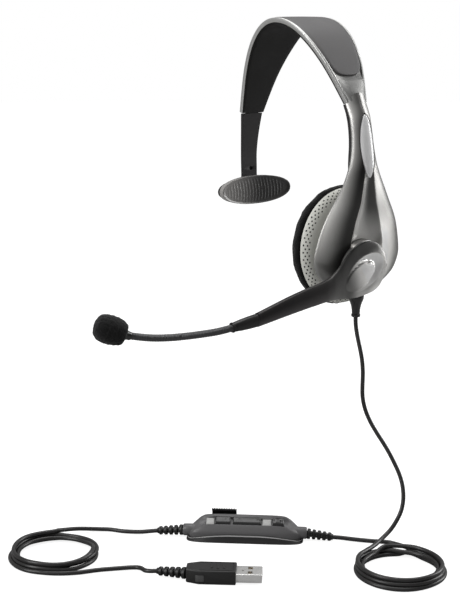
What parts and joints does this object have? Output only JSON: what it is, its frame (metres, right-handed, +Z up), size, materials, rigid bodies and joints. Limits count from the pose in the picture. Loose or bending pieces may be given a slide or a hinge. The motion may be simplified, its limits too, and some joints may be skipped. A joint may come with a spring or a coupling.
{
  "type": "office headset",
  "caption": "Single-ear corded headset: arched headband, temple pad, teardrop ear cup, swinging microphone boom, inline control box and USB plug.",
  "frame": {"origin": "crown point of the headband on the liner's inner face, where the wearer's head carries it", "axes": "+Z up through the crown, +X to the wearer's left (ear cup side), -Y to the wearer's front"},
  "size_m": [0.194, 0.2267, 0.3001],
  "materials": {
    "frame_paint": "satin light silver paint on moulded plastic",
    "cover": "soft-touch mid grey",
    "charcoal": "fine-textured charcoal",
    "shell_paint": "metallic silver-grey paint, satin gloss",
    "badge": "white gloss, plain",
    "dish": "light grey, perforated near the rim",
    "black": "black, satin",
    "black_rubber": "black rubber, satin",
    "leatherette": "black soft leatherette",
    "foam": "black open-cell foam",
    "steel": "bright rolled steel",
    "board": "green solder mask",
    "brass": "gold-flashed contacts",
    "cord": "dark grey satin jacket",
    "panel": "light grey inset panels",
    "tongue": "white moulding"
  },
  "bodies": {
    "root": {"headband_frame": "frame_paint", "headband_cover": "cover", "headband_liner": "charcoal", "headband_spring": "steel", "earcup_shell": "shell_paint", "badge_insert": "badge", "neck_inner_cover": "charcoal", "speaker_housing": "dish", "speaker_driver": "black", "speaker_baffle": "black", "ear_cushion": "leatherette", "cushion_scrim": "foam", "boom_friction_washer": "steel", "cup_strain_relief": "black_rubber", "cord_coil_right": "cord", "cord_coil_left": "cord", "cord_down": "cord", "cord_to_controller": "cord", "cord_from_controller": "cord", "cord_to_plug": "cord", "controller_base": "charcoal", "controller_top_shell": "charcoal", "keypad_panel_left": "panel", "keypad_panel_right": "panel", "controller_pcb": "board", "controller_screw_1": "steel", "controller_screw_2": "steel", "controller_relief_right": "black_rubber", "controller_relief_left": "black_rubber", "clip_pin": "steel", "usb_overmold": "black", "usb_shell": "steel", "usb_tongue": "tongue", "usb_contacts": "brass", "usb_relief": "black_rubber"},
    "temple_slider": {"temple_slide_tongue": "steel", "temple_arm": "charcoal", "temple_pad_pin": "steel"},
    "temple_pad_body": {"temple_pad_plate": "black", "temple_pad": "black_rubber"},
    "boom": {"boom_arm": "shell_paint", "boom_pivot_shaft": "steel", "boom_retainer": "steel", "boom_collar": "black", "gooseneck_rear": "steel", "gooseneck_knuckle": "steel"},
    "microphone": {"gooseneck_front": "steel", "mic_housing": "black", "mic_capsule": "steel", "mic_windscreen": "foam"},
    "mute_key": {"mute_button": "charcoal"},
    "volume_key": {"volume_rocker": "charcoal"},
    "call_key": {"call_button": "charcoal"},
    "clip": {"clothing_clip": "black"}
  },
  "joints": [
    {"name": "temple_slide", "type": "hinge", "parent": "root", "child": "temple_slider", "pos_m": [0.07899, 0, -0.08883], "axis": [0, -1, 0], "range_deg": [0, 8.77]},
    {"name": "temple_pad_tilt", "type": "hinge", "parent": "temple_slider", "child": "temple_pad_body", "pos_m": [-0.0486, 0, -0.1011], "axis": [0, 1, 0], "range_deg": [-8, 8]},
    {"name": "boom_swing", "type": "hinge", "parent": "root", "child": "boom", "pos_m": [0.0605, -0.0025, -0.136], "axis": [1, 0, 0], "range_deg": [-228, 22]},
    {"name": "mic_bend", "type": "hinge", "parent": "boom", "child": "microphone", "pos_m": [0.05249, -0.12772, -0.1597], "axis": [0, 0, 1], "range_deg": [-25, 25]},
    {"name": "mute_press", "type": "slide", "parent": "root", "child": "mute_key", "axis": [0, 0, -1], "range_m": [0, 0.0005], "stiffness_N_per_m": 800, "springref_m": -0.0003},
    {"name": "volume_rock", "type": "hinge", "parent": "root", "child": "volume_key", "pos_m": [0.02951, -0.06395, -0.2869], "axis": [-0.7385, 0.6743, 0], "range_deg": [-2.5, 2.5], "stiffness_Nm_per_rad": 0.05},
    {"name": "call_press", "type": "slide", "parent": "root", "child": "call_key", "axis": [0, 0, -1], "range_m": [0, 0.0005], "stiffness_N_per_m": 800, "springref_m": -0.0003},
    {"name": "clip_open", "type": "hinge", "parent": "root", "child": "clip", "pos_m": [0.01107, -0.06635, -0.2913], "axis": [0.6743, 0.7385, 0], "range_deg": [0, 12], "stiffness_Nm_per_rad": 0.06, "springref_deg": -8.59}
  ]
}
